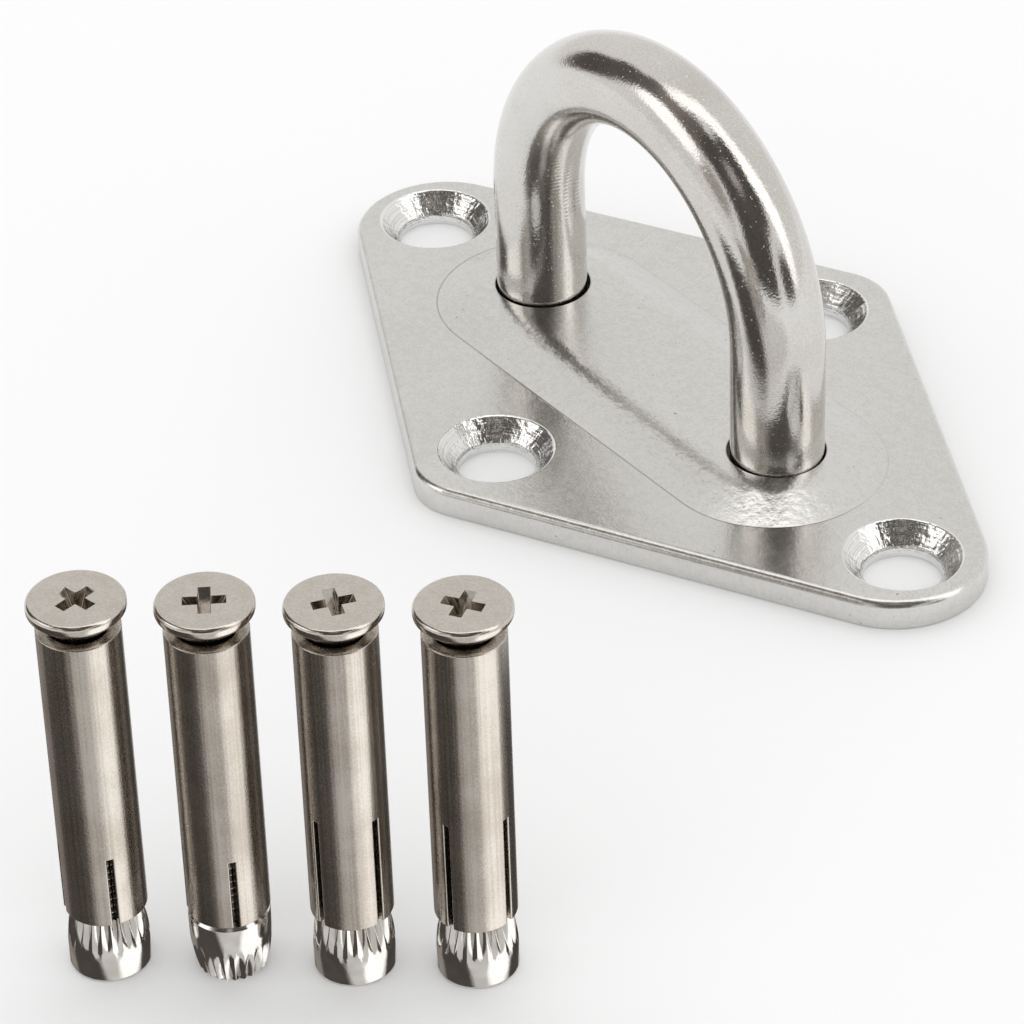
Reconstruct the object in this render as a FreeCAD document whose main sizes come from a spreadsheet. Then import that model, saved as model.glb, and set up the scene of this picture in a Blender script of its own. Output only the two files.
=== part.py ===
import os

import FreeCAD
import Part
import Sketcher

# A welded pad eye and its four sleeve anchors, in millimetres.
# The origin is the centre of the plate on its underside, +X runs along the long diagonal
# and +Z points up through the eye. The anchors stand on the same level in a row beside it.

SIZES = (
    # Rhombic base plate; the diagonals run between its corners before they are rounded.
    ("plate_long_diagonal", 122.0),
    ("plate_short_diagonal", 63.7),
    ("plate_thickness", 3.3),
    ("long_corner_radius", 9.8),
    ("side_corner_radius", 6.7),
    ("top_edge_radius", 0.9),
    # Countersunk screw holes, one pair on each diagonal, set in from the unrounded corners.
    ("long_hole_inset", 19.6),
    ("side_hole_inset", 10.35),
    ("hole_clearance", 0.2),
    ("countersink_diameter", 12.4),
    ("countersink_angle", 90.0),
    # Pressed oblong dome round the legs of the eye, and the hollow under it.
    ("dome_end_margin", 6.4),
    ("dome_side_margin", 7.2),
    ("dome_rise", 1.9),
    ("dome_wall", 2.9),
    ("hollow_inset", 0.9),
    # Round bar bent into the eye, its ends in the hollow and the weld beads round them.
    ("bar_diameter", 10.0),
    ("leg_spacing", 41.6),
    ("eye_height", 43.8),
    ("leg_end_height", 0.4),
    ("leg_clearance", 0.45),
    ("weld_width", 2.5),
    ("weld_slope", 0.8),
    ("weld_penetration", 0.3),
    # Countersunk screw of an anchor.
    ("screw_diameter", 5.0),
    ("tip_chamfer", 0.6),
    ("tip_setback", 1.8),
    ("head_diameter", 9.1),
    ("head_rim", 1.0),
    ("head_rim_radius", 0.45),
    ("head_clearance", 0.2),
    ("cross_span", 5.0),
    ("cross_width", 1.3),
    ("cross_depth", 2.2),
    # Split sleeve of an anchor.
    ("sleeve_clearance", 0.25),
    ("sleeve_wall", 1.15),
    ("sleeve_length", 31.9),
    ("sleeve_chamfer", 0.25),
    ("slot_width", 0.6),
    ("short_slot", 7.7),
    ("long_slot", 12.1),
    # Splined cone nut of an anchor.
    ("nut_clearance", 0.2),
    ("nut_undersize", 0.05),
    ("nut_wall", 0.65),
    ("nut_length", 6.7),
    ("nut_barrel", 4.4),
    ("nut_chamfer", 0.4),
    ("thread_clearance", 0.05),
    ("spline_depth", 0.4),
    ("spline_width", 0.66),
    ("spline_length", 3.9),
    # Row of anchors beside the plate.
    ("row_start_x", 41.0),
    ("row_start_y", -96.0),
    ("row_pitch", 11.5),
    ("row_angle", 50.3),
)
SPLINES = 24
OVERCUT = 1.0

# Each anchor: the length of its slots, how far they are turned, and how its nut is put on.
ANCHORS = (
    ("short_slot", -18.0, "taper up"),
    ("short_slot", -22.0, "taper down"),
    ("long_slot", 9.0, "taper up"),
    ("long_slot", 17.0, "taper up"),
)


def sized(name):
    """A size as an expression."""
    return f"<<sizes>>.{name}"


def half(name):
    return f"{sized(name)} / 2"


# Derived radii and heights, as expressions. An anchor's heights count from its nut's foot.
LEG_REACH = half("leg_spacing")
BAR_RADIUS = half("bar_diameter")
DOME_HALF_LENGTH = f"({LEG_REACH} + {BAR_RADIUS} + {sized('dome_end_margin')})"
DOME_HALF_WIDTH = f"({BAR_RADIUS} + {sized('dome_side_margin')})"
HOLLOW_DEPTH = f"({sized('plate_thickness')} + {sized('dome_rise')} - {sized('dome_wall')})"
SHANK_RADIUS = half("screw_diameter")
SLEEVE_BORE_RADIUS = f"({SHANK_RADIUS} + {sized('sleeve_clearance')})"
SLEEVE_RADIUS = f"({SLEEVE_BORE_RADIUS} + {sized('sleeve_wall')})"
NUT_BORE_RADIUS = f"({SHANK_RADIUS} + {sized('thread_clearance')})"
NUT_NARROW_RADIUS = f"({NUT_BORE_RADIUS} + {sized('nut_wall')})"
NUT_WIDE_RADIUS = f"({SLEEVE_RADIUS} - {sized('nut_undersize')})"
SCREW_HOLE_RADIUS = f"({SLEEVE_RADIUS} + {sized('hole_clearance')})"
SLEEVE_FOOT = f"({sized('nut_length')} + {sized('nut_clearance')})"
CONE_SEAT = f"({half('head_diameter')} - {SLEEVE_BORE_RADIUS} + {sized('head_clearance')})"
HEAD_TOP = f"({SLEEVE_FOOT} + {sized('sleeve_length')} + {CONE_SEAT} + {sized('head_rim')})"
SCREW_LENGTH = f"({HEAD_TOP} - {sized('tip_setback')})"

UP = FreeCAD.Vector(0, 0, 1)
ACROSS = FreeCAD.Vector(1, 0, 0)

doc = FreeCAD.newDocument("pad_eye")


def make_sheet():
    sheet = doc.addObject("Spreadsheet::Sheet", "sizes")
    for row, (alias, number) in enumerate(SIZES, start=1):
        sheet.set(f"A{row}", alias)
        sheet.set(f"B{row}", str(number))
        sheet.setAlias(f"B{row}", alias)
    doc.recompute()
    return sheet


def value(expression):
    """The number that an expression on the sheet gives now."""
    return float(sheet.evalExpression(str(expression)))


def new_body(name):
    body = doc.addObject("PartDesign::Body", name)
    body.Label = name
    return body


def origin_feature(body, role):
    return next(item for item in body.Origin.OriginFeatures if item.Role == role)


def new_sketch(body, name, plane, height="0"):
    """A sketch on one of the body's own planes, raised along its normal by an expression."""
    sketch = body.newObject("Sketcher::SketchObject", f"{body.Name}_{name}")
    sketch.AttachmentSupport = [(origin_feature(body, plane), "")]
    sketch.MapMode = "FlatFace"
    sketch.setExpression("AttachmentOffset.Base.z", height)
    return sketch


def constrain(sketch, kind, *where, size):
    index = sketch.addConstraint(Sketcher.Constraint(kind, *where, value(size)))
    sketch.setExpression(f"Constraints[{index}]", size)


def pin(sketch, element, end, x, y):
    """Hold one point of the sketch at x, y, which are expressions."""
    for kind, size, axis in (("DistanceX", x, -2), ("DistanceY", y, -1)):
        if abs(value(size)) < 1e-9:
            sketch.addConstraint(Sketcher.Constraint("PointOnObject", element, end, axis))
        else:
            constrain(sketch, kind, -1, 1, element, end, size=size)


def point(x, y):
    return FreeCAD.Vector(value(x), value(y), 0)


def arc_between(start, finish, radius):
    """An arc that bulges out to the right of the way from start to finish."""
    chord = finish - start
    left = FreeCAD.Vector(-chord.y, chord.x, 0).normalize()
    centre = (start + finish) / 2 + left * max(radius**2 - chord.Length**2 / 4, 0) ** 0.5
    circle = Part.Circle(centre, UP, radius)
    return Part.ArcOfCircle(circle, circle.parameter(start), circle.parameter(finish))


def draw_loop(sketch, corners, arcs=None):
    """Close a loop anticlockwise through corners, with an arc's radius where arcs names one."""
    arcs = arcs or {}
    places = [point(x, y) for x, y in corners]
    first = sketch.GeometryCount
    for index, place in enumerate(places):
        following = places[(index + 1) % len(places)]
        if index in arcs:
            sketch.addGeometry(arc_between(place, following, value(arcs[index])))
        else:
            sketch.addGeometry(Part.LineSegment(place, following))
    for index, (x, y) in enumerate(corners):
        before = first + (index - 1) % len(corners)
        sketch.addConstraint(Sketcher.Constraint("Coincident", before, 2, first + index, 1))
        pin(sketch, first + index, 1, x, y)
    for index, radius in arcs.items():
        constrain(sketch, "Radius", first + index, size=radius)


def draw_circle(sketch, x, y, radius):
    circle = sketch.addGeometry(Part.Circle(point(x, y), UP, value(radius)))
    pin(sketch, circle, 3, x, y)
    constrain(sketch, "Radius", circle, size=radius)


def feature(body, kind, name, sketch=None, **settings):
    """Add a PartDesign feature; a setting given as text is an expression on the sheet."""
    made = body.newObject(f"PartDesign::{kind}", f"{body.Name}_{name}")
    if sketch:
        made.Profile = sketch
    for setting, amount in settings.items():
        if isinstance(amount, str) and "<<sizes>>" in amount:
            made.setExpression(setting, amount)
        else:
            setattr(made, setting, amount)
    doc.recompute()
    return made


def edges_of(shaped, wanted):
    """The names of the edges of a feature that pass a test."""
    return [f"Edge{i}" for i, edge in enumerate(shaped.Shape.Edges, start=1) if wanted(edge)]


def repeat(body, kind, name, originals, **settings):
    pattern = feature(body, kind, name, Originals=originals, **settings)
    body.Tip = pattern
    doc.recompute()
    return pattern


def at_height(edge, height):
    return all(abs(vertex.Z - value(height)) < 1e-6 for vertex in edge.Vertexes)


def is_ring(edge, radius):
    return hasattr(edge.Curve, "Radius") and abs(edge.Curve.Radius - value(radius)) < 1e-6


def crown_radius(half_width, rise):
    """Radius of the arc that spans twice half_width and rises by rise."""
    return f"(({half_width})^2 + ({rise})^2) / (2 * ({rise}))"


def upright_edges(shaped, along_x):
    """The rhombus's corner edges on the X axis, or else those on the Y axis."""
    def wanted(edge):
        upright = abs(edge.tangentAt(edge.FirstParameter).z) > 0.99
        centre = edge.CenterOfMass
        return upright and (abs(centre.x) > abs(centre.y)) == along_x
    return edges_of(shaped, wanted)


def add_plate_slab(body):
    """The rhombus with its rounded corners and its softened top edge."""
    sketch = new_sketch(body, "outline", "XY_Plane")
    long_reach = half("plate_long_diagonal")
    side_reach = half("plate_short_diagonal")
    corners = ((long_reach, "0"), ("0", side_reach), (f"-{long_reach}", "0"), ("0", f"-{side_reach}"))
    draw_loop(sketch, corners)
    slab = feature(body, "Pad", "slab", sketch, Length=sized("plate_thickness"))
    for name, along_x in (("long_corner", True), ("side_corner", False)):
        edges = upright_edges(slab, along_x)
        radius = sized(f"{name}_radius")
        slab = feature(body, "Fillet", f"{name}s", Base=(slab, edges), Radius=radius)
    rim = edges_of(slab, lambda edge: at_height(edge, sized("plate_thickness")))
    feature(body, "Fillet", "top_edge", Base=(slab, rim), Radius=sized("top_edge_radius"))


def add_crown(body, name, straight, round_end, half_width, foot, rise, skirt):
    """An oblong crown: a straight middle and two round ends, added or cut."""
    centre = f"({DOME_HALF_LENGTH} - {DOME_HALF_WIDTH})"
    radius = crown_radius(half_width, rise)
    top = f"{foot} + {rise}"
    low = f"{foot} - {skirt}"
    middle = new_sketch(body, f"{name}_middle_section", "YZ_Plane")
    corners = [(f"-({half_width})", low), (half_width, low), (half_width, foot), (f"-({half_width})", foot)]
    draw_loop(middle, corners, {2: radius})
    feature(body, straight, f"{name}_middle", middle, Length=f"2 * {centre}", SideType="Symmetric")
    end = new_sketch(body, f"{name}_end_section", "XZ_Plane")
    outer = f"{centre} + {half_width}"
    draw_loop(end, [(centre, low), (outer, low), (outer, foot), (centre, top)], {2: radius})
    axis = (end, ["Edge4"])
    turned = feature(body, round_end, f"{name}_end", end, ReferenceAxis=axis, Angle=360)
    plane = (origin_feature(body, "YZ_Plane"), [""])
    repeat(body, "Mirrored", f"{name}_other_end", [turned], MirrorPlane=plane)


def add_dome(body):
    """The pressed dome, and the hollow that it leaves under the plate."""
    thickness = sized("plate_thickness")
    rise = sized("dome_rise")
    skirt = half("plate_thickness")
    add_crown(body, "dome", "Pad", "Revolution", DOME_HALF_WIDTH, thickness, rise, skirt)
    inside = f"({DOME_HALF_WIDTH} - {sized('hollow_inset')})"
    add_crown(body, "hollow", "Pocket", "Groove", inside, "0", HOLLOW_DEPTH, str(OVERCUT))


def add_screw_holes(body):
    sketch = new_sketch(body, "screw_hole_centres", "XY_Plane", sized("plate_thickness"))
    long_reach = f"({half('plate_long_diagonal')} - {sized('long_hole_inset')})"
    side_reach = f"({half('plate_short_diagonal')} - {sized('side_hole_inset')})"
    for side in ("", "-"):
        draw_circle(sketch, f"{side}{long_reach}", "0", SCREW_HOLE_RADIUS)
        draw_circle(sketch, "0", f"{side}{side_reach}", SCREW_HOLE_RADIUS)
    doc.recompute()
    hole = feature(body, "Hole", "screw_holes", sketch, DepthType="ThroughAll")
    hole.HoleCutType = "Countersink"
    hole.HoleCutCustomValues = True
    hole.setExpression("Diameter", f"2 * {SCREW_HOLE_RADIUS}")
    hole.setExpression("HoleCutDiameter", sized("countersink_diameter"))
    hole.setExpression("HoleCutCountersinkAngle", sized("countersink_angle"))
    doc.recompute()


def add_leg_holes(body):
    sketch = new_sketch(body, "leg_hole_centres", "XY_Plane", sized("plate_thickness"))
    radius = f"{BAR_RADIUS} + {sized('leg_clearance')}"
    for side in ("", "-"):
        draw_circle(sketch, f"{side}{LEG_REACH}", "0", radius)
    feature(body, "Pocket", "leg_holes", sketch, Type="ThroughAll", SideType="Symmetric")


def make_base_plate():
    body = new_body("base_plate")
    add_plate_slab(body)
    add_dome(body)
    add_screw_holes(body)
    add_leg_holes(body)
    return body


def make_eye_bar():
    """Two straight legs and a half circle, swept by the bar's round section."""
    body = new_body("eye_bar")
    reach = LEG_REACH
    foot = sized("leg_end_height")
    shoulder = f"({sized('eye_height')} - {BAR_RADIUS} - {reach})"
    path = new_sketch(body, "path", "XZ_Plane")
    left = FreeCAD.Vector(-value(reach), value(shoulder), 0)
    right = FreeCAD.Vector(value(reach), value(shoulder), 0)
    down = FreeCAD.Vector(0, value(foot) - value(shoulder), 0)
    path.addGeometry(Part.LineSegment(right + down, right))
    path.addGeometry(arc_between(right, left, value(reach)))
    path.addGeometry(Part.LineSegment(left, left + down))
    path.addConstraint(Sketcher.Constraint("Coincident", 0, 2, 1, 1))
    path.addConstraint(Sketcher.Constraint("Coincident", 1, 2, 2, 1))
    pin(path, 0, 1, reach, foot)
    pin(path, 1, 1, reach, shoulder)
    pin(path, 1, 2, f"-{reach}", shoulder)
    constrain(path, "DistanceY", -1, 1, 1, 3, size=shoulder)
    pin(path, 2, 2, f"-{reach}", foot)
    section = new_sketch(body, "section", "XY_Plane", foot)
    draw_circle(section, reach, "0", BAR_RADIUS)
    doc.recompute()
    feature(body, "AdditivePipe", "bent_bar", section, Spine=(path, ["Edge1", "Edge2", "Edge3"]))
    return body


def make_leg_weld(name, side, plate):
    """A fillet bead round one leg's end, filling up to the hollow's roof and into the gap."""
    bead = doc.addObject("PartDesign::Body", f"{name}_bead")
    sketch = new_sketch(bead, "section", "XZ_Plane")
    axis_x = f"{side}{LEG_REACH}"
    inner = f"{axis_x} + {BAR_RADIUS}"
    outer = f"{inner} + {sized('weld_width')}"
    foot = sized("leg_end_height")
    shoulder = f"{foot} + {sized('weld_slope')}"
    top = f"{HOLLOW_DEPTH} + {sized('weld_penetration')}"
    draw_loop(sketch, [(inner, foot), (outer, shoulder), (outer, top), (inner, top)])
    axis = sketch.addGeometry(Part.LineSegment(point(axis_x, foot), point(axis_x, top)), True)
    pin(sketch, axis, 1, axis_x, foot)
    pin(sketch, axis, 2, axis_x, top)
    doc.recompute()
    feature(bead, "Revolution", "ring", sketch, ReferenceAxis=(sketch, ["Axis0"]), Angle=360)
    weld = doc.addObject("Part::Cut", name)
    weld.Label = name
    weld.Base = bead
    weld.Tool = plate
    doc.recompute()
    return weld


def turn_about_axis(body, name, corners, arcs=None):
    """Revolve a section about the body's own Z axis."""
    sketch = new_sketch(body, f"{name}_section", "XZ_Plane")
    draw_loop(sketch, corners, arcs)
    axis = (origin_feature(body, "Z_Axis"), [""])
    return feature(body, "Revolution", name, sketch, ReferenceAxis=axis, Angle=360)


def make_screw(name):
    """Countersunk screw with a cross recess, its tip at the body's origin."""
    body = new_body(name)
    shank = SHANK_RADIUS
    head = half("head_diameter")
    top = SCREW_LENGTH
    rim_foot = f"{top} - {sized('head_rim')}"
    cone_foot = f"{rim_foot} - ({head} - {shank})"
    chamfer = sized("tip_chamfer")
    corners = [("0", "0"), (f"{shank} - {chamfer}", "0"), (shank, chamfer), (shank, cone_foot)]
    corners += [(head, rim_foot), (head, top), ("0", top)]
    blank = turn_about_axis(body, "blank", corners)
    rim = edges_of(blank, lambda edge: at_height(edge, top))
    feature(body, "Fillet", "rim", Base=(blank, rim), Radius=sized("head_rim_radius"))
    add_cross_recess(body, top)
    return body


def add_cross_recess(body, top):
    sketch = new_sketch(body, "cross", "XY_Plane", top)
    reach = half("cross_span")
    side = half("cross_width")
    quarter = [(reach, f"-{side}"), (reach, side), (side, side)]
    corners = list(quarter)
    for _ in range(3):
        quarter = [(negate(y), x) for x, y in quarter]
        corners += quarter
    draw_loop(sketch, corners)
    feature(body, "Pocket", "cross_recess", sketch, Length=sized("cross_depth"))


def negate(expression):
    return expression[1:] if expression.startswith("-") else f"-{expression}"


def make_sleeve(name, slot):
    """Plain tube, its foot at the body's origin, sawn crosswise from the foot."""
    body = new_body(name)
    sketch = new_sketch(body, "ring", "XY_Plane")
    draw_circle(sketch, "0", "0", SLEEVE_RADIUS)
    draw_circle(sketch, "0", "0", SLEEVE_BORE_RADIUS)
    tube = feature(body, "Pad", "tube", sketch, Length=sized("sleeve_length"))
    rims = edges_of(tube, lambda edge: is_ring(edge, SLEEVE_RADIUS))
    feature(body, "Chamfer", "ends", Base=(tube, rims), Size=sized("sleeve_chamfer"))
    side = half("slot_width")
    length = sized(slot)
    low = str(-OVERCUT)
    for plane in ("XZ_Plane", "YZ_Plane"):
        saw = new_sketch(body, f"slot_{plane[:2]}", plane)
        draw_loop(saw, [(f"-{side}", low), (side, low), (side, length), (f"-{side}", length)])
        feature(body, "Pocket", f"slots_{plane[:2]}", saw, Type="ThroughAll", SideType="Symmetric")
    return body


def make_cone_nut(name):
    """Taper nut, its wide end at the body's origin, with splines that run out down the barrel."""
    body = new_body(name)
    bore = NUT_BORE_RADIUS
    wide = NUT_WIDE_RADIUS
    narrow = NUT_NARROW_RADIUS
    top = sized("nut_length")
    shoulder = f"{top} - {sized('nut_barrel')}"
    chamfer = sized("nut_chamfer")
    corners = [(bore, "0"), (f"{wide} - {chamfer}", "0"), (wide, chamfer), (wide, shoulder)]
    corners += [(narrow, top), (bore, top)]
    barrel = crown_radius(sized("nut_barrel"), f"({wide} - {narrow})")
    turn_about_axis(body, "blank", corners, {3: barrel})
    add_splines(body, narrow, wide, top)
    return body


def add_splines(body, narrow, wide, top):
    """V grooves whose roots climb outwards until they leave the barrel's surface."""
    depth = sized("spline_depth")
    root = f"({narrow} - {depth})"
    reach = f"({wide} - {narrow} + {depth} + {OVERCUT})"
    flare = f"{reach} * {half('spline_width')} / {depth}"
    sketch = new_sketch(body, "spline_section", "XY_Plane", top)
    rim = f"{root} + {reach}"
    draw_loop(sketch, [(root, "0"), (rim, f"-({flare})"), (rim, flare)])
    climb = (value(wide) - value(root)) / value(sized("spline_length"))
    cut = feature(body, "Pocket", "spline", sketch, Type="Length", Length=sized("spline_length"),
                  UseCustomVector=True, Direction=FreeCAD.Vector(climb, 0, -1))
    axis = (origin_feature(body, "Z_Axis"), [""])
    repeat(body, "PolarPattern", "splines", [cut], Axis=axis, Angle=360, Occurrences=SPLINES)


def stand(body, number, height, turn=0, flipped=False):
    """Stand an anchor's piece at its place in the row, turned about its own axis."""
    spin = FreeCAD.Rotation(UP, turn)
    roll = FreeCAD.Rotation(ACROSS, 180 if flipped else 0)
    body.Placement = FreeCAD.Placement(FreeCAD.Vector(), spin.multiply(roll))
    along = f"{number} * {sized('row_pitch')}"
    angle = sized("row_angle")
    body.setExpression("Placement.Base.x", f"{sized('row_start_x')} + {along} * cos({angle})")
    body.setExpression("Placement.Base.y", f"{sized('row_start_y')} + {along} * sin({angle})")
    body.setExpression("Placement.Base.z", height)


def make_anchor(number, slot, turn, nut_way):
    """Nut at the foot, sleeve above it, and the screw down through both."""
    name = f"anchor_{number + 1}"
    screw = make_screw(f"{name}_screw")
    stand(screw, number, sized("tip_setback"), turn)
    sleeve = make_sleeve(f"{name}_sleeve", slot)
    stand(sleeve, number, SLEEVE_FOOT, turn)
    nut = make_cone_nut(f"{name}_cone_nut")
    flipped = nut_way == "taper down"
    stand(nut, number, sized("nut_length") if flipped else "0", turn, flipped)
    return [screw, sleeve, nut]


def check(subparts):
    for item in doc.Objects:
        if "Invalid" in item.State or "Error" in item.State:
            raise RuntimeError(f"{item.Label} failed: {item.State}")
    for subpart in subparts:
        shape = subpart.Shape
        if shape.isNull() or not shape.isValid() or len(shape.Solids) != 1:
            raise RuntimeError(f"{subpart.Label} isn't one valid solid")


def export(subparts):
    os.makedirs("parts", exist_ok=True)
    for subpart in subparts:
        subpart.Shape.exportStep(f"parts/{subpart.Label}.step")


sheet = make_sheet()
base_plate = make_base_plate()
eye_bar = make_eye_bar()
subparts = [base_plate, eye_bar]
subparts.append(make_leg_weld("leg_weld_left", "-", base_plate))
subparts.append(make_leg_weld("leg_weld_right", "", base_plate))
for number, (slot, turn, nut_way) in enumerate(ANCHORS):
    subparts += make_anchor(number, slot, turn, nut_way)
doc.recompute()
check(subparts)
export(subparts)
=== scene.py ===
import bpy
from math import atan2, cos, pi, radians, sin, tau
from mathutils import Matrix, Vector


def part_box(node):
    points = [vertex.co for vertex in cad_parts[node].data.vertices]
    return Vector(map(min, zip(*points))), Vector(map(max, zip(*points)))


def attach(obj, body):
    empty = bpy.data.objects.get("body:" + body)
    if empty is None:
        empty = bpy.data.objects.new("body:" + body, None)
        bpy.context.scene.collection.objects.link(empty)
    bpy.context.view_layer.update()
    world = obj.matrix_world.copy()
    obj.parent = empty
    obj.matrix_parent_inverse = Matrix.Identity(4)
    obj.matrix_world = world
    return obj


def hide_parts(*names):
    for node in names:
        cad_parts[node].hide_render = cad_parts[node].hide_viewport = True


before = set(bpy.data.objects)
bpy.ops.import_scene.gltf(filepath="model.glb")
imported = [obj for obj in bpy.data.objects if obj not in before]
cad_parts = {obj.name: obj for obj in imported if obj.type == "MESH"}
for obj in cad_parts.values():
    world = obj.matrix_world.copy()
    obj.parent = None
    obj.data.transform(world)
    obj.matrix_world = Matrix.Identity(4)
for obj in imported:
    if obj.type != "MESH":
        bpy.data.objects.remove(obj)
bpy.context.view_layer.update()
MM = 0.001

# Camera: a long lens looking down on the eye from the near right, a little rolled. It aims
# left of and below the eye, so that the row of anchors is in view too.
VIEW_AZIMUTH = radians(55.04)
VIEW_ELEVATION = radians(35.59)
VIEW_ROLL = radians(-2.05)
VIEW_DISTANCE = 525.3 * MM
VIEW_SLIDE = (-15.77 * MM, -11.90 * MM)
VIEW_LENS_MM = 170.0

back = Vector((sin(VIEW_AZIMUTH) * cos(VIEW_ELEVATION), -cos(VIEW_AZIMUTH) * cos(VIEW_ELEVATION),
               sin(VIEW_ELEVATION)))
level = Vector((cos(VIEW_AZIMUTH), sin(VIEW_AZIMUTH), 0))
upward = back.cross(level)
right = level * cos(VIEW_ROLL) + upward * sin(VIEW_ROLL)
above = upward * cos(VIEW_ROLL) - level * sin(VIEW_ROLL)
bpy.ops.object.camera_add()
camera = bpy.context.object
camera.name = "camera"
camera.matrix_world = Matrix((right, above, back)).transposed().to_4x4()
camera.location = right * VIEW_SLIDE[0] + above * VIEW_SLIDE[1] + back * VIEW_DISTANCE
camera.data.lens = VIEW_LENS_MM
camera.data.clip_start = 10 * MM
bpy.context.scene.camera = camera


class Socket:
    """One output of a shader node; arithmetic on it adds Math nodes beside it."""

    def __init__(self, tree, output):
        self.tree = tree
        self.output = output

    def node(self, kind, settings=None, inputs=None, output=0):
        """Add a node: its settings first, then the values or links of its sockets."""
        made = self.tree.nodes.new(kind)
        for setting, value in (settings or {}).items():
            setattr(made, setting, value)
        for name, value in (inputs or {}).items():
            if isinstance(value, Socket):
                self.tree.links.new(value.output, made.inputs[name])
            else:
                made.inputs[name].default_value = value
        return Socket(self.tree, made.outputs[output])

    def maths(self, operation, *terms):
        return self.node("ShaderNodeMath", {"operation": operation}, dict(enumerate(terms)))

    def __add__(self, other):
        return self.maths("ADD", self, other)

    def __sub__(self, other):
        return self.maths("SUBTRACT", self, other)

    def __rsub__(self, other):
        return self.maths("SUBTRACT", other, self)

    def __mul__(self, other):
        return self.maths("MULTIPLY", self, other)

    __radd__ = __add__
    __rmul__ = __mul__

    def spread(self, low, high, to_low=0.0, to_high=1.0):
        """Ease from one value to another as this socket goes from low to high."""
        inputs = {"Value": self, "From Min": low, "From Max": high, "To Min": to_low, "To Max": to_high}
        return self.node("ShaderNodeMapRange", {"interpolation_type": "SMOOTHSTEP"}, inputs)

    def blend(self, first, second):
        """Mix two colours by this socket."""
        return self.node("ShaderNodeMix", {"data_type": "RGBA"}, {0: self, 6: first, 7: second}, 2)

    def noise(self, scale, detail):
        """Noise over this place."""
        return self.node("ShaderNodeTexNoise", inputs={"Vector": self, "Scale": scale, "Detail": detail})

    def axes(self):
        """The X, Y and Z of this place."""
        split = self.node("ShaderNodeSeparateXYZ", inputs={"Vector": self})
        return [Socket(self.tree, split.output.node.outputs[axis]) for axis in "XYZ"]


# Studio: a pale floor under a white tent that is open to a dark room in front, where two
# window lights hang. The room shows only in reflections. The floor round the row of anchors
# is left out of reflections, so that their sides mirror the dark and bright table panels.
FLOOR_SIZE = 6.0
FLOOR_COLOUR = (0.90, 0.90, 0.90, 1)
PLAIN_LIGHT = 1.1
TENT_LIGHT = 0.87
TABLE_LIGHT = 0.75
ROW_MIDDLE = (70 * MM, -108 * MM, 0)
ROW_REACH = 98 * MM
ROW_SOFT_EDGE = 12 * MM
DARK_TINT = (1, 0.89, 0.80, 1)
BRIGHT_TINT = (1, 0.99, 0.975, 1)
# Panels: azimuth and elevation in degrees, half width, width of the soft edge, brightness.
ROOM_PANELS = (
    (-156, 18, 13, 6, 0.09), (-148, 36, 13, 5, 0.10), (-138, 54, 10, 4, 0.14), (-108, 62, 15, 5, 0.28),
    (-80, 58, 14, 5, 0.18), (-50, 54, 18, 5, 0.08), (0, 66, 14, 4, 0.09), (-8, 48, 16, 5, 0.08),
    (-35, 36, 22, 6, 0.09), (-38, 13, 20, 6, 0.08), (-84, 24, 9, 5, 0.42), (10, 8, 10, 5, 0.10),
    (-36, 55, 6, 3, 0.45), (-122, 31, 9, 2.5, 1.7), (-113, 33, 11, 2.5, 1.8), (-104, 32, 10, 2.5, 1.7),
    (-147, 71, 7, 2.5, 1.6), (-172, 80, 8, 2.5, 1.7), (110, 82, 8, 2.5, 1.7), (60, 75, 8, 2.5, 1.7),
    (45, 67, 8, 2.5, 1.6), (38, 60, 9, 2.5, 1.7), (35, 51, 10, 2.5, 1.8), (36, 41, 10, 2.5, 1.8),
    (36, 30, 10, 2.5, 1.8), (33, 19, 8, 2.5, 1.7), (30, 10, 6, 2.5, 1.6),
)
TABLE_PANELS = (
    (-130, -36, 48, 12, 0.09), (-170, -36, 14, 8, 0.30), (25, -36, 20, 12, 1.7), (96, -36, 21, 7, 0.08),
)


def hang(way, light, panels):
    """Lay round panels over a plain light, seen along a direction."""
    for azimuth, elevation, reach, soft, bright in panels:
        a, e = radians(azimuth), radians(elevation)
        aim = Vector((cos(a) * cos(e), sin(a) * cos(e), sin(e)))
        near = way.node("ShaderNodeVectorMath", {"operation": "DOT_PRODUCT"}, {0: way, 1: aim}, "Value")
        mask = near.spread(cos(radians(reach + soft)), cos(radians(reach)))
        light = light * (1 - mask) + mask * bright
    return light


def make_world():
    """Plain white light on matt surfaces; the tent, the room and the table in mirrors only."""
    world = bpy.data.worlds.new("tent")
    bpy.context.scene.world = world
    world.use_nodes = True
    tree = world.node_tree
    tree.nodes.clear()
    out = tree.nodes.new("ShaderNodeOutputWorld")
    start = Socket(tree, None)
    way = start.node("ShaderNodeTexCoord", output="Generated")
    below = way.axes()[2].spread(0.0, -0.05)
    tent = start.node("ShaderNodeValue")
    tent.output.default_value = TENT_LIGHT
    table = start.node("ShaderNodeValue")
    table.output.default_value = TABLE_LIGHT
    light = hang(way, tent, ROOM_PANELS) * (1 - below) + hang(way, table, TABLE_PANELS) * below
    tint = light.spread(0.1, 0.9).blend(DARK_TINT, BRIGHT_TINT)
    mirrored = start.node("ShaderNodeBackground", inputs={"Color": tint, "Strength": light})
    plain = start.node("ShaderNodeBackground", inputs={"Color": (1, 1, 1, 1), "Strength": PLAIN_LIGHT})
    glossy = start.node("ShaderNodeLightPath", output="Is Glossy Ray")
    both = start.node("ShaderNodeMixShader", inputs={0: glossy, 1: plain, 2: mirrored})
    tree.links.new(both.output, out.inputs["Surface"])


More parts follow.
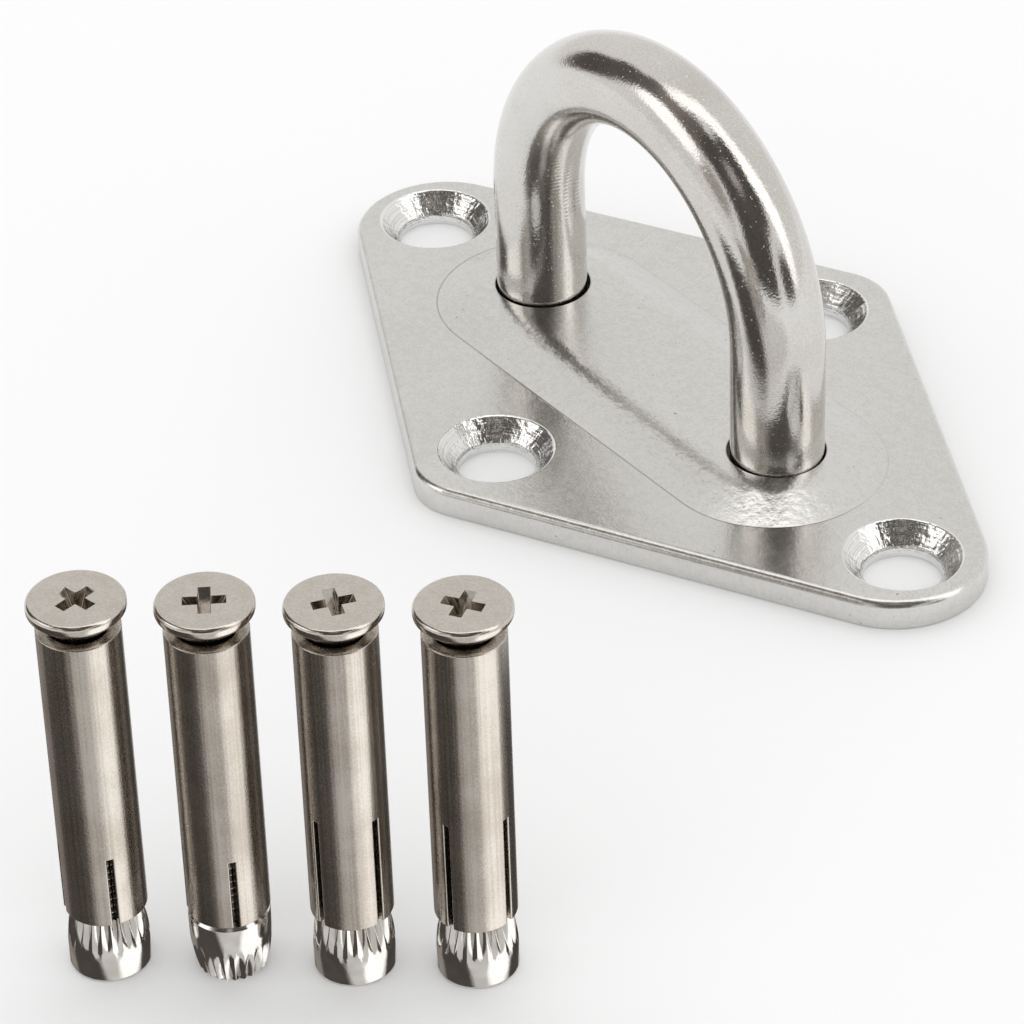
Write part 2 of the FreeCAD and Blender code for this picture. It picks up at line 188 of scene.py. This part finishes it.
def make_floor():
    """A matt white floor, clear to mirrored rays round the row of anchors."""
    bpy.ops.mesh.primitive_plane_add(size=FLOOR_SIZE, location=(0, 0, 0))
    floor = bpy.context.object
    floor.name = "floor"
    paint = bpy.data.materials.new("floor_paint")
    paint.use_nodes = True
    tree = paint.node_tree
    shader = tree.nodes["Principled BSDF"]
    shader.inputs["Base Color"].default_value = FLOOR_COLOUR
    shader.inputs["Roughness"].default_value = 0.9
    shader.inputs["Specular IOR Level"].default_value = 0.1
    start = Socket(tree, None)
    place = start.node("ShaderNodeTexCoord", output="Object")
    away = place.node("ShaderNodeVectorMath", {"operation": "DISTANCE"}, {0: place, 1: ROW_MIDDLE}, "Value")
    glossy = start.node("ShaderNodeLightPath", output="Is Glossy Ray")
    clear = start.node("ShaderNodeBsdfTransparent")
    solid = Socket(tree, shader.outputs["BSDF"])
    hole = glossy * away.spread(ROW_REACH, ROW_REACH - ROW_SOFT_EDGE)
    both = start.node("ShaderNodeMixShader", inputs={0: hole, 1: solid, 2: clear})
    tree.links.new(both.output, tree.nodes["Material Output"].inputs["Surface"])
    floor.data.materials.append(paint)


make_world()
make_floor()
bpy.context.scene.view_settings.view_transform = "Standard"

# Eye bar: round stainless bar bent over a former into an upside-down U and polished by hand.
# Its legs go down through the dome and are welded underneath.
BAR_SIDES = 96
BEND_STEPS = 96
LEG_STEPS = 12
FILE_MARK_STEP = 0.49 * MM


def begin(name):
    """Name the new primitive and open it for editing with nothing selected."""
    piece = bpy.context.object
    piece.name = name
    piece.data.name = name
    bpy.ops.object.mode_set(mode="EDIT")
    bpy.ops.mesh.select_mode(type="VERT")
    bpy.ops.mesh.select_all(action="DESELECT")
    return piece


def choose(piece, kind, wanted):
    """Select the vertices, edges or faces whose corner places pass a test."""
    bpy.ops.mesh.select_mode(type=kind)
    bpy.ops.mesh.select_all(action="DESELECT")
    bpy.ops.object.mode_set(mode="OBJECT")
    mesh = piece.data
    if kind == "VERT":
        for vertex in mesh.vertices:
            vertex.select = wanted(vertex.co)
    else:
        for item in mesh.edges if kind == "EDGE" else mesh.polygons:
            item.select = wanted([mesh.vertices[index].co for index in item.vertices])
    bpy.ops.object.mode_set(mode="EDIT")


def extrude(x=0.0, y=0.0, z=0.0):
    bpy.ops.mesh.extrude_region_move(TRANSFORM_OT_translate={"value": (x, y, z)})


def close(piece, smooth_degrees=35):
    """Merge doubles, point the faces out, leave edit mode and shade smooth between edges."""
    bpy.ops.mesh.select_all(action="SELECT")
    bpy.ops.mesh.remove_doubles(threshold=0.002 * MM)
    bpy.ops.mesh.normals_make_consistent(inside=False)
    bpy.ops.mesh.select_all(action="DESELECT")
    bpy.ops.object.mode_set(mode="OBJECT")
    place_in_mesh(piece)
    bpy.ops.object.shade_smooth_by_angle(angle=radians(smooth_degrees))


def place_in_mesh(piece):
    """Move a piece's place, turn and scale into its mesh."""
    only(piece)
    bpy.ops.object.transform_apply(location=True, rotation=True, scale=True)


def only(piece):
    """Select one piece and nothing else."""
    bpy.ops.object.select_all(action="DESELECT")
    piece.select_set(True)
    bpy.context.view_layer.objects.active = piece


def modify(piece, kind, **settings):
    """Add a modifier with these settings and apply it."""
    only(piece)
    modifier = piece.modifiers.new(kind.lower(), kind)
    for setting, value in settings.items():
        setattr(modifier, setting, value)
    bpy.ops.object.modifier_apply(modifier=modifier.name)


def stainless(name):
    """A new steel: the material, its shader, and the place on the piece that patterns read."""
    material = bpy.data.materials.new(name)
    material.use_nodes = True
    shader = material.node_tree.nodes["Principled BSDF"]
    shader.inputs["Metallic"].default_value = 1.0
    place = Socket(material.node_tree, None).node("ShaderNodeTexCoord", output="Object")
    return material, shader, place


def dress(shader, tone, rough, height, relief=0.12 * MM):
    """Give a steel its tone and roughness, and raise its surface by a height pattern."""
    bump = height.node("ShaderNodeBump", inputs={"Height": height, "Strength": 0.5, "Distance": relief})
    for name, socket in (("Base Color", tone), ("Roughness", rough), ("Normal", bump)):
        socket.tree.links.new(socket.output, shader.inputs[name])


bar_low, bar_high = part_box("eye_bar")
bar_radius = (bar_high.y - bar_low.y) / 2
leg_x = bar_high.x - bar_radius
shoulder = bar_high.z - bar_radius - leg_x
bpy.ops.mesh.primitive_circle_add(vertices=BAR_SIDES, radius=bar_radius, fill_type="NGON",
                                  location=(leg_x, 0, bar_low.z))
eye_bar = begin("polished_eye_bar")
bpy.ops.mesh.select_all(action="SELECT")
for _ in range(LEG_STEPS):
    extrude(z=(shoulder - bar_low.z) / LEG_STEPS)
bpy.ops.mesh.spin(steps=BEND_STEPS, angle=pi, center=(0, 0, shoulder), axis=(0, 1, 0))
for _ in range(LEG_STEPS):
    extrude(z=(bar_low.z - shoulder) / LEG_STEPS)
close(eye_bar)


def bar_finish():
    """Hand polish: fine grain, buffed ripples, bright specks, and file marks inside one leg's bend."""
    material, shader, place = stainless("polished_bar")
    grain, buffed, cloud = place.noise(4200, 2), place.noise(700, 3), place.noise(110, 2)
    specks = place.noise(3500, 1).spread(0.70, 0.77)
    x, _, z = place.axes()
    rise = z.maths("MAXIMUM", z - shoulder, 0.0)
    from_middle = x.maths("SQRT", x * x + rise * rise)
    inner = from_middle.spread(leg_x - 0.88 * bar_radius, leg_x - 0.95 * bar_radius) * x.spread(0.0, -1 * MM)
    filed = inner * z.spread(15 * MM, 17 * MM) * z.spread(26 * MM, 23 * MM)
    file_marks = z.maths("SINE", z * (tau / FILE_MARK_STEP)) * filed
    mottle = 0.45 * cloud + 0.55 * grain
    tone = mottle.spread(0.36, 0.62).blend((0.60, 0.575, 0.54, 1), (0.70, 0.685, 0.66, 1))
    tone = specks.blend(tone, (0.85, 0.84, 0.82, 1))
    rough = 0.07 + 0.07 * grain + 0.04 * buffed + 0.35 * specks
    height = 0.20 * grain + 0.20 * buffed - 0.15 * specks + 0.12 * file_marks
    dress(shader, tone, rough, height)
    return material


eye_bar.data.materials.append(bar_finish())
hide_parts("eye_bar")
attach(eye_bar, "pad_eye")

# Base plate: a rhombus of stainless sheet with a pressed dome round the legs, punched leg
# holes, and four countersinks turned after pressing. Barrel polished all over.
PLATE_THICKNESS = 3.3 * MM
LONG_CORNER_RADIUS = 9.8 * MM
SIDE_CORNER_RADIUS = 6.7 * MM
CORNER_SIDES = 192
HOLE_SIDES = 96
TOP_EDGE_ROUNDING = 0.9 * MM
BOTTOM_EDGE_ROUNDING = 0.25 * MM
DOME_CENTRE_X = 20.0 * MM
DOME_HALF_WIDTH = 12.2 * MM
DOME_RISE = 1.9 * MM
DOME_WALL = 2.9 * MM
CREASE_RADIUS = 0.5 * MM
SHOULDER_RADIUS = 8.5 * MM
DOME_LEAN = radians(20)
HOLLOW_INSET = 0.9 * MM
LEG_GAP = 0.22 * MM
LEG_HOLE_SHIFT = 0.13 * MM
HOLE_LIP = 0.22 * MM
HOLE_RADIUS = 4.1 * MM
HOLE_LAND = 0.95 * MM
CONE_FOOT = (4.36 * MM, 1.45 * MM)
CONE_TOP = (6.06 * MM, 3.15 * MM)
CONE_LIP = ((6.15 * MM, 3.225 * MM), (6.25 * MM, 3.275 * MM), (6.36 * MM, 3.305 * MM))
LONG_HOLE_X = 41.4 * MM
SIDE_HOLE_Y = 21.5 * MM
HOLES = ((LONG_HOLE_X, 0), (-LONG_HOLE_X, 0), (0, SIDE_HOLE_Y), (0, -SIDE_HOLE_Y))
CUTTER_FOOT = -1 * MM
CUTTER_TOP = 9 * MM
DOME_SKIRT = 1.5 * MM
HOLLOW_SKIRT = 1 * MM
HAIR = 0.003 * MM
CROWN_SIDES = 144
CREASE_STEPS = 5
SHOULDER_STEPS = 16


def lathe(name, sides, profile, centre=(0, 0), turn=0.0, fill="NGON"):
    """Turn a closed solid: a filled circle, then a ring for each further (radius, height)."""
    radius, height = profile[0]
    bpy.ops.mesh.primitive_circle_add(vertices=sides, radius=radius, fill_type=fill,
                                      location=(*centre, height), rotation=(0, 0, turn))
    piece = begin(name)
    bpy.ops.mesh.select_all(action="SELECT")
    for next_radius, next_height in profile[1:]:
        extrude(z=next_height - height)
        scale = next_radius / radius
        bpy.ops.transform.resize(value=(scale, scale, 1), center_override=(*centre, next_height))
        radius, height = next_radius, next_height
    return piece


def cut(piece, *cutters, operation="DIFFERENCE"):
    """Cut each cutter out of a piece, or weld it on, and throw the cutter away."""
    for cutter in cutters:
        modify(piece, "BOOLEAN", operation=operation, object=cutter, solver="EXACT")
        bpy.data.objects.remove(cutter)


def arc_steps(count):
    return [step / count for step in range(count + 1)]


def crown(name, half_width, rise, foot, skirt):
    """An oblong crown with a flat top: a turned cap whose halves are drawn apart to the leg centres."""
    reach, level = half_width, foot + HAIR
    profile = [(reach, foot - skirt), (reach, level)]
    for share in arc_steps(CREASE_STEPS)[1:]:
        angle = DOME_LEAN * share
        profile.append((reach - CREASE_RADIUS * sin(angle), level + CREASE_RADIUS * (1 - cos(angle))))
    drop = rise - (CREASE_RADIUS + SHOULDER_RADIUS) * (1 - cos(DOME_LEAN))
    reach, level = profile[-1]
    reach, level = reach - drop * cos(DOME_LEAN) / sin(DOME_LEAN), level + drop
    for share in arc_steps(SHOULDER_STEPS):
        angle = DOME_LEAN * (1 - share)
        profile.append((reach - SHOULDER_RADIUS * (sin(DOME_LEAN) - sin(angle)),
                        level + SHOULDER_RADIUS * (cos(angle) - cos(DOME_LEAN))))
    piece = lathe(name, CROWN_SIDES, profile, turn=pi / CROWN_SIDES)
    for side in (1, -1):
        choose(piece, "VERT", lambda place: place.x * side > 0)
        bpy.ops.transform.translate(value=(side * DOME_CENTRE_X, 0, 0))
    close(piece)
    return piece


def plate_slab():
    """The hull of four corner rounds about a hair-thin core, with its rims rounded."""
    low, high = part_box("base_plate")
    long_x = high.x - LONG_CORNER_RADIUS
    side_y = high.y - SIDE_CORNER_RADIUS
    rounds = [(long_x, 0, LONG_CORNER_RADIUS), (-long_x, 0, LONG_CORNER_RADIUS),
              (0, side_y, SIDE_CORNER_RADIUS), (0, -side_y, SIDE_CORNER_RADIUS)]
    bpy.ops.mesh.primitive_cylinder_add(vertices=4, radius=HAIR, depth=PLATE_THICKNESS,
                                        location=(0, 0, PLATE_THICKNESS / 2))
    slab = begin("pressed_plate")
    for x, y, radius in rounds:
        bpy.ops.mesh.primitive_cylinder_add(vertices=CORNER_SIDES, radius=radius, depth=PLATE_THICKNESS,
                                            location=(x, y, PLATE_THICKNESS / 2))
    bpy.ops.mesh.select_all(action="SELECT")
    bpy.ops.mesh.convex_hull(join_triangles=False)
    bpy.ops.mesh.select_all(action="SELECT")
    bpy.ops.mesh.dissolve_limited(angle_limit=radians(0.2))
    bpy.ops.object.mode_set(mode="OBJECT")
    place_in_mesh(slab)
    bpy.ops.object.mode_set(mode="EDIT")
    for level, rounding, steps in ((PLATE_THICKNESS, TOP_EDGE_ROUNDING, 8), (0, BOTTOM_EDGE_ROUNDING, 3)):
        choose(slab, "EDGE", lambda ends: all(abs(end.z - level) < HAIR for end in ends))
        bpy.ops.mesh.bevel(offset=rounding, segments=steps, profile=0.5)
    close(slab)
    return slab


def countersink(x, y):
    """The cutter of one screw hole: land, a short steep ring, a 90 degree cone, a soft lip."""
    profile = [(HOLE_RADIUS, CUTTER_FOOT), (HOLE_RADIUS, HOLE_LAND), CONE_FOOT, CONE_TOP, *CONE_LIP]
    profile.append((CONE_LIP[-1][0], CUTTER_TOP))
    cutter = lathe("countersink_cutter", HOLE_SIDES, profile, (x, y))
    close(cutter)
    return cutter


def leg_hole(x):
    """The cutter of one leg hole, punched a little towards the middle, with a softened lip."""
    radius = bar_radius + LEG_GAP
    top = PLATE_THICKNESS + DOME_RISE
    profile = [(radius, CUTTER_FOOT), (radius, top - HOLE_LIP)]
    for share in arc_steps(4)[1:]:
        angle = share * pi / 2
        level = top - HOLE_LIP * (1 - sin(angle)) + HAIR * share
        profile.append((radius + HOLE_LIP * (1 - cos(angle)), level))
    profile.append((radius + HOLE_LIP, CUTTER_TOP))
    cutter = lathe("leg_hole_cutter", HOLE_SIDES, profile, (x, 0))
    close(cutter)
    return cutter


plate = plate_slab()
cut(plate, crown("dome", DOME_HALF_WIDTH, DOME_RISE, PLATE_THICKNESS, DOME_SKIRT), operation="UNION")
hollow_depth = PLATE_THICKNESS + DOME_RISE - DOME_WALL
cut(plate, crown("hollow", DOME_HALF_WIDTH - HOLLOW_INSET, hollow_depth, 0, HOLLOW_SKIRT))
cut(plate, leg_hole(leg_x - LEG_HOLE_SHIFT), leg_hole(LEG_HOLE_SHIFT - leg_x))
cut(plate, *[countersink(x, y) for x, y in HOLES])
only(plate)
bpy.ops.object.shade_smooth_by_angle(angle=radians(30))
modify(plate, "WEIGHTED_NORMAL", keep_sharp=True, weight=100)


def plate_finish():
    """Sandy barrel polish, more wrinkled where the sheet was stretched, with a painted shade line along the
    dome's foot that the bump also cuts in as a shallow groove.
    """
    material, shader, place = stainless("barrel_polished_plate")
    x, y, z = place.axes()
    past_end = x.maths("MAXIMUM", x.maths("ABSOLUTE", x) - DOME_CENTRE_X, 0.0)
    from_foot = x.maths("SQRT", past_end * past_end + y * y) - DOME_HALF_WIDTH
    on_top = z.spread(PLATE_THICKNESS - 0.3 * MM, PLATE_THICKNESS - 0.1 * MM)
    # Painted shade: a dark line round the foot of the dome, stronger towards the front; the same mask also
    # cuts a shallow groove into the bump.
    shade_line_front_weight = y.spread(5 * MM, -3 * MM, 0.22, 1.0)
    foot_shade_and_groove = from_foot.maths("ABSOLUTE", from_foot).spread(0.13 * MM, 0.04 * MM) * on_top * shade_line_front_weight
    pressed = from_foot.spread(-9 * MM, -5 * MM) * from_foot.spread(1.5 * MM, -0.5 * MM) * on_top
    grain, peel = place.noise(3600, 2), place.noise(1100, 2)
    waves, cloud = place.noise(280, 1), place.noise(60, 2)
    specks = place.noise(1500, 1).spread(0.765, 0.80)
    mottle = 0.5 * grain + 0.3 * peel + 0.2 * cloud
    tone = mottle.spread(0.38, 0.60).blend((0.645, 0.635, 0.61, 1), (0.72, 0.71, 0.69, 1))
    # The painted shade line at the dome's foot takes the same dark colour as the pits.
    tone = (0.6 * specks + 0.5 * foot_shade_and_groove).blend(tone, (0.24, 0.22, 0.20, 1))
    rough = 0.15 + 0.08 * grain + 0.06 * peel + 0.03 * cloud
    height = 0.20 * grain + (0.26 + 0.7 * pressed) * peel + 0.55 * waves - 0.3 * specks - 0.3 * foot_shade_and_groove
    dress(shader, tone, rough, height)
    return material


def countersink_finish():
    """Turned faces: fine rings up the cone, crossed by the chatter that the cutter left round it."""
    material, shader, place = stainless("turned_countersink")
    x, y, z = place.axes()
    far = x.maths("ABSOLUTE", x)
    long_end = far.maths("GREATER_THAN", far, LONG_HOLE_X / 2)
    across = (far - LONG_HOLE_X) * long_end + x * (1 - long_end)
    along = y * long_end + (y.maths("ABSOLUTE", y) - SIDE_HOLE_Y) * (1 - long_end)
    round_hole = across.maths("ARCTAN2", along, across)

    def polar_noise(turns, climb, detail):
        """Noise that runs round the hole and up its cone, each at its own scale."""
        cell = place.node("ShaderNodeCombineXYZ", inputs={0: round_hole * turns, 1: z * climb})
        return cell.noise(1, detail)

    chatter, rings, steps = polar_noise(9, 1500, 2), polar_noise(0.8, 9000, 1), polar_noise(1.5, 3200, 0)
    tone = rings.spread(0.3, 0.6).blend((0.72, 0.715, 0.705, 1), (0.86, 0.86, 0.85, 1))
    rough = 0.10 + 0.12 * rings
    height = 0.35 * rings + 0.8 * steps + 1.7 * chatter
    dress(shader, tone, rough, height, 0.14 * MM)
    return material


def near_hole(place):
    """Whether a corner of the plate's mesh lies on a countersink."""
    reach = CONE_LIP[-1][0] + HAIR
    return any((place.x - x)**2 + (place.y - y)**2 < reach**2 for x, y in HOLES)


plate.data.materials.clear()
plate.data.materials.append(plate_finish())
plate.data.materials.append(countersink_finish())
for face in plate.data.polygons:
    inside = all(near_hole(plate.data.vertices[index].co) for index in face.vertices)
    face.material_index = 1 if inside else 0
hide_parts("base_plate")
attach(plate, "pad_eye")


# Leg welds: a bead run round each leg's end, inside the hollow, and left as welded. The CAD
# solids have the beads' shape already, so only their finish is made here.
def weld_finish():
    """Rippled bead, with the straw and grey that the heat left."""
    material, shader, place = stainless("weld_bead")
    ripples, heat = place.noise(1800, 2), place.noise(240, 2)
    tone = heat.spread(0.35, 0.65).blend((0.30, 0.24, 0.17, 1), (0.52, 0.50, 0.47, 1))
    dress(shader, tone, 0.28 + 0.2 * ripples, ripples, 0.2 * MM)
    return material


weld_steel = weld_finish()
for name in ("leg_weld_left", "leg_weld_right"):
    bead = bpy.data.objects[name]
    bead.data.materials.clear()
    bead.data.materials.append(weld_steel)

# Anchor screws: M5 countersunk, cold-headed and then polished, with a cross recess. The
# thread is rolled on the lower third only; the smooth shank runs inside the sleeve.
HEAD_RADIUS = 4.55 * MM
HEAD_RIM = 1.0 * MM
HEAD_ROUNDING = 0.45 * MM
SHANK_RADIUS = 2.5 * MM
THREAD_ROOT = 2.06 * MM
THREAD_CREST = 2.47 * MM
THREAD_PITCH = 0.8 * MM
THREAD_TURNS = 14
TIP_CHAMFER = 0.6 * MM
CROSS_SPAN = 5.0 * MM
CROSS_WIDTH = 1.3 * MM
CROSS_DEPTH = 2.2 * MM
CROSS_CLEAR = 1 * MM
CROSS_TAPER = (0.34, 0.72)
SCREW_SIDES = 72
ANCHORS = (1, 2, 3, 4)
HEAD_TURNS = {1: 12, 2: 57, 3: -20, 4: 33}


def cross_wing(turn, top):
    """The cutter of one tapered wing of the cross recess."""
    middle = (0, 0, top + (CROSS_CLEAR - CROSS_DEPTH) / 2)
    bpy.ops.mesh.primitive_cube_add(size=1, location=middle)
    wing = begin("cross_wing")
    bpy.ops.mesh.select_all(action="SELECT")
    tall = CROSS_DEPTH + CROSS_CLEAR
    bpy.ops.transform.resize(value=(CROSS_SPAN, CROSS_WIDTH, tall), center_override=middle)
    choose(wing, "VERT", lambda place: place.z < 0)
    bpy.ops.transform.resize(value=(*CROSS_TAPER, 1), center_override=middle)
    bpy.ops.object.mode_set(mode="OBJECT")
    wing.rotation_euler.z = turn
    place_in_mesh(wing)
    bpy.ops.object.mode_set(mode="EDIT")
    close(wing)
    return wing


def make_screw():
    """A screw about its own axis, tip down, at the height the anchors have."""
    low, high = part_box("anchor_1_screw")
    profile = [(SHANK_RADIUS - TIP_CHAMFER, low.z)]
    level = low.z + TIP_CHAMFER / 2
    for _ in range(THREAD_TURNS):
        profile += [(THREAD_ROOT, level), (THREAD_CREST, level + 0.35 * THREAD_PITCH)]
        profile += [(THREAD_CREST, level + 0.5 * THREAD_PITCH)]
        level += THREAD_PITCH
    profile += [(THREAD_ROOT, level), (SHANK_RADIUS, level + 0.5 * MM)]
    cone_top = high.z - HEAD_RIM
    cone_foot = cone_top - (HEAD_RADIUS - SHANK_RADIUS)
    profile += [(SHANK_RADIUS, cone_foot - 0.1 * MM), (SHANK_RADIUS + 0.1 * MM, cone_foot + 0.15 * MM)]
    profile += [(HEAD_RADIUS - 0.16 * MM, cone_top - 0.14 * MM), (HEAD_RADIUS - 0.04 * MM, cone_top)]
    profile += [(HEAD_RADIUS, cone_top + 0.14 * MM)]
    for share in arc_steps(7):
        angle = share * pi / 2
        profile.append((HEAD_RADIUS - HEAD_ROUNDING * (1 - cos(angle)),
                        high.z - HEAD_ROUNDING * (1 - sin(angle))))
    profile.append((HEAD_RADIUS * 0.72, high.z))
    screw = lathe("anchor_screw", SCREW_SIDES, profile)
    close(screw)
    cut(screw, cross_wing(0, high.z), cross_wing(pi / 2, high.z))
    modify(screw, "BEVEL", width=0.05 * MM, segments=2, limit_method="ANGLE", angle_limit=radians(50))
    only(screw)
    bpy.ops.object.shade_smooth_by_angle(angle=radians(32))
    modify(screw, "WEIGHTED_NORMAL", keep_sharp=True, weight=80)
    return screw


def stand_at(pattern, node, turn, name, flip=False):
    """A copy of a pattern piece on a node's own upright axis, with its place in its mesh."""
    only(pattern)
    bpy.ops.object.duplicate(linked=False)
    piece = bpy.context.object
    piece.name = name
    piece.data.name = name
    low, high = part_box(node)
    if flip:
        piece.rotation_euler.x = pi
        piece.location.z = low.z + high.z
        place_in_mesh(piece)
    piece.rotation_euler.z = turn
    piece.location.x = (low.x + high.x) / 2
    piece.location.y = (low.y + high.y) / 2
    place_in_mesh(piece)
    return piece


def screw_finish():
    """Tumbled polish, a little browner than the plate, over the dents of cold heading."""
    material, shader, place = stainless("polished_screw")
    grain, dents = place.noise(4200, 2), place.noise(600, 2)
    mottle = 0.4 * dents + 0.6 * grain
    tone = mottle.spread(0.35, 0.65).blend((0.54, 0.50, 0.45, 1), (0.61, 0.57, 0.525, 1))
    dress(shader, tone, 0.09 + 0.08 * grain + 0.06 * dents, 0.12 * grain + 0.45 * dents)
    return material


screw_pattern = make_screw()
screw_pattern.data.materials.append(screw_finish())
for number in ANCHORS:
    screw = stand_at(screw_pattern, f"anchor_{number}_screw", radians(HEAD_TURNS[number]),
                     f"polished_screw_{number}")
    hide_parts(f"anchor_{number}_screw")
    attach(screw, f"anchor_{number}_screw")
bpy.data.objects.remove(screw_pattern)

# Anchor sleeves: drawn stainless tube, cut to length, with four slots sawn up from the nut
# end so that the legs can spread. Two have short slots and two have long ones.
SLEEVE_WALL = 1.15 * MM
SLEEVE_EDGE = 0.13 * MM
SLEEVE_SIDES = 80
SLOT_HALF_WIDTH = 0.3 * MM
SLOT_LENGTHS = {1: 7.7 * MM, 2: 7.7 * MM, 3: 12.1 * MM, 4: 12.1 * MM}
SLOT_TURNS = {1: -18, 2: -22, 3: 9, 4: 17}


def make_sleeve(slot_length):
    """A slotted tube about its own axis: the two columns of faces at each slot are left out."""
    low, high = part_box("anchor_1_sleeve")
    radius = (high.x - low.x) / 2
    bpy.ops.mesh.primitive_circle_add(vertices=SLEEVE_SIDES, radius=radius, fill_type="NOTHING",
                                      location=(0, 0, low.z))
    sleeve = begin("anchor_sleeve")
    bpy.ops.mesh.select_all(action="SELECT")
    extrude(z=slot_length)
    extrude(z=high.z - low.z - slot_length)
    bpy.ops.object.mode_set(mode="OBJECT")
    place_in_mesh(sleeve)
    bpy.ops.object.mode_set(mode="EDIT")

    def at_slot(corners):
        middle = sum(corners, Vector()) / len(corners)
        across = min(abs(middle.x), abs(middle.y))
        return middle.z < low.z + slot_length and across < SLOT_HALF_WIDTH

    choose(sleeve, "FACE", at_slot)
    bpy.ops.mesh.delete(type="FACE")
    close(sleeve)
    modify(sleeve, "SOLIDIFY", thickness=SLEEVE_WALL, offset=-1, use_even_offset=True)
    modify(sleeve, "BEVEL", width=SLEEVE_EDGE, segments=3, limit_method="ANGLE", angle_limit=radians(50))
    only(sleeve)
    bpy.ops.object.shade_smooth_by_angle(angle=radians(32))
    modify(sleeve, "WEIGHTED_NORMAL", keep_sharp=True, weight=80)
    return sleeve


def sleeve_finish():
    """Drawn tube: lines along it, flats left by the rolls, and a fine sandy grain."""
    material, shader, place = stainless("drawn_sleeve")
    fine = place.node("ShaderNodeMapping", inputs={"Vector": place, "Scale": (3800, 3800, 25)})
    broad = place.node("ShaderNodeMapping", inputs={"Vector": place, "Scale": (560, 560, 9)})
    lines, flats = fine.noise(1, 2), broad.noise(1, 1)
    grain, cloud = place.noise(4600, 2), place.noise(180, 3)
    mottle = 0.35 * lines + 0.25 * grain + 0.4 * cloud
    tone = mottle.spread(0.38, 0.62).blend((0.40, 0.36, 0.315, 1), (0.56, 0.52, 0.475, 1))
    rough = 0.15 + 0.12 * lines + 0.08 * grain
    height = 0.10 * lines + 0.16 * grain + 0.9 * flats
    dress(shader, tone, rough, height)
    return material


sleeve_steel = sleeve_finish()
for slot_length in sorted(set(SLOT_LENGTHS.values())):
    sleeve_pattern = make_sleeve(slot_length)
    sleeve_pattern.data.materials.append(sleeve_steel)
    for number in [anchor for anchor in ANCHORS if SLOT_LENGTHS[anchor] == slot_length]:
        sleeve = stand_at(sleeve_pattern, f"anchor_{number}_sleeve", radians(SLOT_TURNS[number]),
                          f"slotted_sleeve_{number}")
        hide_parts(f"anchor_{number}_sleeve")
        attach(sleeve, f"anchor_{number}_sleeve")
    bpy.data.objects.remove(sleeve_pattern)

# Cone nuts: turned from bright bar, threaded right through, tapered at one end and rolled
# with 24 V splines that bite the sleeve's legs. The second one is on the other way up.
NUT_BORE = 2.55 * MM
NUT_SMALL_RADIUS = 3.2 * MM
NUT_CHAMFER = 0.4 * MM
NUT_BARREL = 4.4 * MM
SPLINES = 24
SPLINE_SIDES = 4
SPLINE_LENGTH = 3.9 * MM
SPLINE_DEPTH = 0.4 * MM
SPLINE_FLANK = 0.35
SPLINE_RINGS = 8
FLIPPED_NUT = 2


def make_nut():
    """A cone nut about its own axis, small end up."""
    low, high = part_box("anchor_1_cone_nut")
    radius = (high.x - low.x) / 2
    narrowing = radius - NUT_SMALL_RADIUS
    bulge = (NUT_BARREL**2 + narrowing**2) / (2 * narrowing)
    shoulder = high.z - NUT_BARREL
    foot = high.z - SPLINE_LENGTH
    rings = [(radius, shoulder)]
    for share in arc_steps(SPLINE_RINGS):
        level = foot + SPLINE_LENGTH * share
        rings.append((radius - bulge + (bulge**2 - (level - shoulder)**2)**0.5, level))
    profile = [(radius - NUT_CHAMFER, low.z), (radius - NUT_CHAMFER * 0.75, low.z + NUT_CHAMFER * 0.08)]
    profile += [(radius - NUT_CHAMFER * 0.08, low.z + NUT_CHAMFER * 0.75), (radius, low.z + NUT_CHAMFER)]
    profile += [*rings, (NUT_BORE, high.z), (NUT_BORE, low.z), profile[0]]
    nut = lathe("cone_nut", SPLINES * SPLINE_SIDES, profile, fill="NOTHING")
    close(nut)
    bpy.ops.object.mode_set(mode="EDIT")
    step = tau / (SPLINES * SPLINE_SIDES)
    for ring_radius, level in rings[2:]:
        down = (high.z - level) / SPLINE_LENGTH
        root = (NUT_SMALL_RADIUS - SPLINE_DEPTH) * (1 - down) + radius * down
        depth = max(ring_radius - root, 0)
        for column, part in ((0, 1.0), (1, SPLINE_FLANK), (3, SPLINE_FLANK)):
            def on_column(place):
                around = atan2(place.y, place.x) % tau
                outside = Vector((place.x, place.y)).length > NUT_BORE + 0.1 * MM
                in_column = round(around / step) % SPLINE_SIDES == column
                return outside and in_column and abs(place.z - level) < HAIR

            scale = 1 - depth * part / ring_radius
            choose(nut, "VERT", on_column)
            bpy.ops.transform.resize(value=(scale, scale, 1), center_override=(0, 0, 0))
    close(nut, smooth_degrees=25)
    return nut


def nut_finish():
    """Bright turned steel, slightly dented by rolling."""
    material, shader, place = stainless("bright_nut")
    grain, dents = place.noise(3600, 2), place.noise(500, 1)
    tone = dents.spread(0.35, 0.7).blend((0.62, 0.60, 0.57, 1), (0.74, 0.725, 0.70, 1))
    dress(shader, tone, 0.08 + 0.07 * grain, 0.10 * grain + 0.22 * dents)
    return material


nut_pattern = make_nut()
nut_pattern.data.materials.append(nut_finish())
for number in ANCHORS:
    nut = stand_at(nut_pattern, f"anchor_{number}_cone_nut", radians(SLOT_TURNS[number]),
                   f"bright_cone_nut_{number}", flip=number == FLIPPED_NUT)
    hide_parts(f"anchor_{number}_cone_nut")
    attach(nut, f"anchor_{number}_cone_nut")
bpy.data.objects.remove(nut_pattern)
